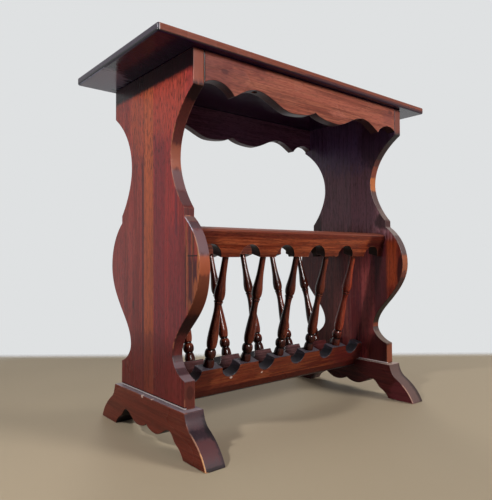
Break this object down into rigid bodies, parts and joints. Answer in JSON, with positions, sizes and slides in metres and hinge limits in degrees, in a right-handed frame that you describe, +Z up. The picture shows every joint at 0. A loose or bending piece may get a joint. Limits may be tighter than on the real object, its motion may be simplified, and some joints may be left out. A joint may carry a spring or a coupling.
{
  "type": "magazine rack table",
  "caption": "Small side table with cut-out end panels on trestle feet, scalloped aprons under a thin top, and a V-shaped magazine rack of turned spindles between notched rails.",
  "frame": {"origin": "on the floor, under the middle of the top", "axes": "+X along the length of the top, from the left end panel to the right one; +Y from the front apron to the back one; +Z up"},
  "size_m": [0.616, 0.318, 0.58],
  "materials": {
    "top_mahogany": "red-brown mahogany, polished",
    "apron_mahogany": "lighter red-brown mahogany, polished, worn pale along its lower edge",
    "left_panel_mahogany": "deep red-brown mahogany with an upright grain and an orange-brown stripe at the glue line",
    "right_panel_mahogany": "dark red-brown mahogany, polished",
    "foot_mahogany": "red-brown mahogany, polished, with worn pale edges",
    "front_rail_mahogany": "orange-brown mahogany, polished",
    "back_rail_mahogany": "dark red-brown mahogany, polished",
    "turned_mahogany": "dark turned mahogany, glossy",
    "screw_steel": "dull steel"
  },
  "bodies": {
    "root": {"top_board": "top_mahogany", "front_apron": "apron_mahogany", "back_apron": "apron_mahogany", "left_panel_front_board": "left_panel_mahogany", "left_panel_back_board": "left_panel_mahogany", "right_panel_front_board": "right_panel_mahogany", "right_panel_back_board": "right_panel_mahogany", "left_foot": "foot_mahogany", "right_foot": "foot_mahogany", "front_upper_rail": "front_rail_mahogany", "front_lower_rail": "front_rail_mahogany", "back_upper_rail": "back_rail_mahogany", "back_lower_rail": "back_rail_mahogany", "front_spindle_1": "turned_mahogany", "front_spindle_2": "turned_mahogany", "front_spindle_3": "turned_mahogany", "front_spindle_4": "turned_mahogany", "front_spindle_5": "turned_mahogany", "back_spindle_1": "turned_mahogany", "back_spindle_2": "turned_mahogany", "back_spindle_3": "turned_mahogany", "back_spindle_4": "turned_mahogany", "back_spindle_5": "turned_mahogany", "top_screw_1": "screw_steel", "top_screw_2": "screw_steel", "top_screw_3": "screw_steel", "top_screw_4": "screw_steel"}
  },
  "joints": []
}
